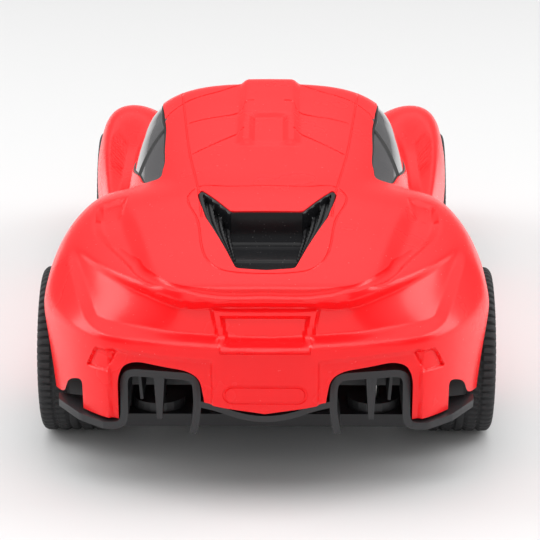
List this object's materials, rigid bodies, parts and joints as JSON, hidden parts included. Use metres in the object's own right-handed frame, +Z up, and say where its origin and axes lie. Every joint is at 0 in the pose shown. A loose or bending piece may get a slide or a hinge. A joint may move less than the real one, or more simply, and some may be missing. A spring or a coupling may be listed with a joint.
{
  "type": "pull back car",
  "caption": "Red moulded toy sports car with a spring pull back motor on its rear axle, a louvred rear deck, dark windows and a finned tail diffuser.",
  "frame": {"origin": "on the ground under the middle of the car's bounding box", "axes": "+Z up, -Y towards the nose, +X towards the car's left side"},
  "size_m": [0.0632, 0.1458, 0.0382],
  "materials": {
    "body_red": "glossy moulded red",
    "dark_glass": "polished black",
    "gloss_black": "glossy black",
    "matt_black": "fine satin texture",
    "tyre_black": "matt rubber",
    "rim_silver": "silver coated plastic",
    "steel": "bright drawn steel",
    "motor_grey": "satin",
    "gear_white": "natural acetal",
    "spring_steel": "blued strip",
    "clear_lens": "clear"
  },
  "bodies": {
    "car_body": {"body_shell": "body_red", "window_insert": "dark_glass", "engine_vent_insert": "gloss_black", "headlight_left": "clear_lens", "headlight_right": "clear_lens", "chassis_base": "matt_black", "front_axle_keeper": "matt_black", "rear_diffuser": "matt_black", "chassis_screw_front_left": "steel", "chassis_screw_front_right": "steel", "chassis_screw_rear_left": "steel", "chassis_screw_rear_right": "steel", "keeper_screw_left": "steel", "keeper_screw_right": "steel", "motor_screw_front": "steel", "motor_screw_rear": "steel", "motor_case": "motor_grey", "motor_cover": "motor_grey", "mainspring": "spring_steel", "transfer_pin": "steel"},
    "front_wheels": {"front_axle": "steel", "rim_front_left": "rim_silver", "rim_front_right": "rim_silver", "tyre_front_left": "tyre_black", "tyre_front_right": "tyre_black"},
    "rear_wheels": {"rear_axle": "steel", "axle_pinion": "gear_white", "rim_rear_left": "rim_silver", "rim_rear_right": "rim_silver", "tyre_rear_left": "tyre_black", "tyre_rear_right": "tyre_black"},
    "transfer_gear_body": {"transfer_gear": "gear_white"},
    "spring_gear_body": {"spring_gear": "gear_white"},
    "clutch_carrier": {"clutch_pin": "steel"},
    "clutch_gear_body": {"clutch_gear": "gear_white"}
  },
  "joints": [
    {"name": "front_axle_spin", "type": "hinge", "parent": "car_body", "child": "front_wheels", "pos_m": [0, -0.0415, 0.0108], "axis": [1, 0, 0], "continuous": true},
    {"name": "rear_axle_spin", "type": "hinge", "parent": "car_body", "child": "rear_wheels", "pos_m": [0, 0.0435, 0.0116], "axis": [1, 0, 0], "continuous": true},
    {"name": "transfer_gear_spin", "type": "hinge", "parent": "car_body", "child": "transfer_gear_body", "pos_m": [0, 0.0388, 0.01868], "axis": [1, 0, 0], "continuous": true},
    {"name": "spring_gear_spin", "type": "hinge", "parent": "car_body", "child": "spring_gear_body", "pos_m": [0, 0.03029, 0.01575], "axis": [1, 0, 0], "continuous": true},
    {"name": "clutch_slide", "type": "slide", "parent": "car_body", "child": "clutch_carrier", "axis": [0, 0.3, 0.9539], "range_m": [0, 0.0008]},
    {"name": "clutch_gear_spin", "type": "hinge", "parent": "clutch_carrier", "child": "clutch_gear_body", "pos_m": [0, 0.03785, 0.00938], "axis": [1, 0, 0], "continuous": true}
  ],
  "couplings": [
    {"joint": "transfer_gear_spin", "follows": "rear_axle_spin", "ratio": -0.41667},
    {"joint": "spring_gear_spin", "follows": "rear_axle_spin", "ratio": 0.16026}
  ]
}
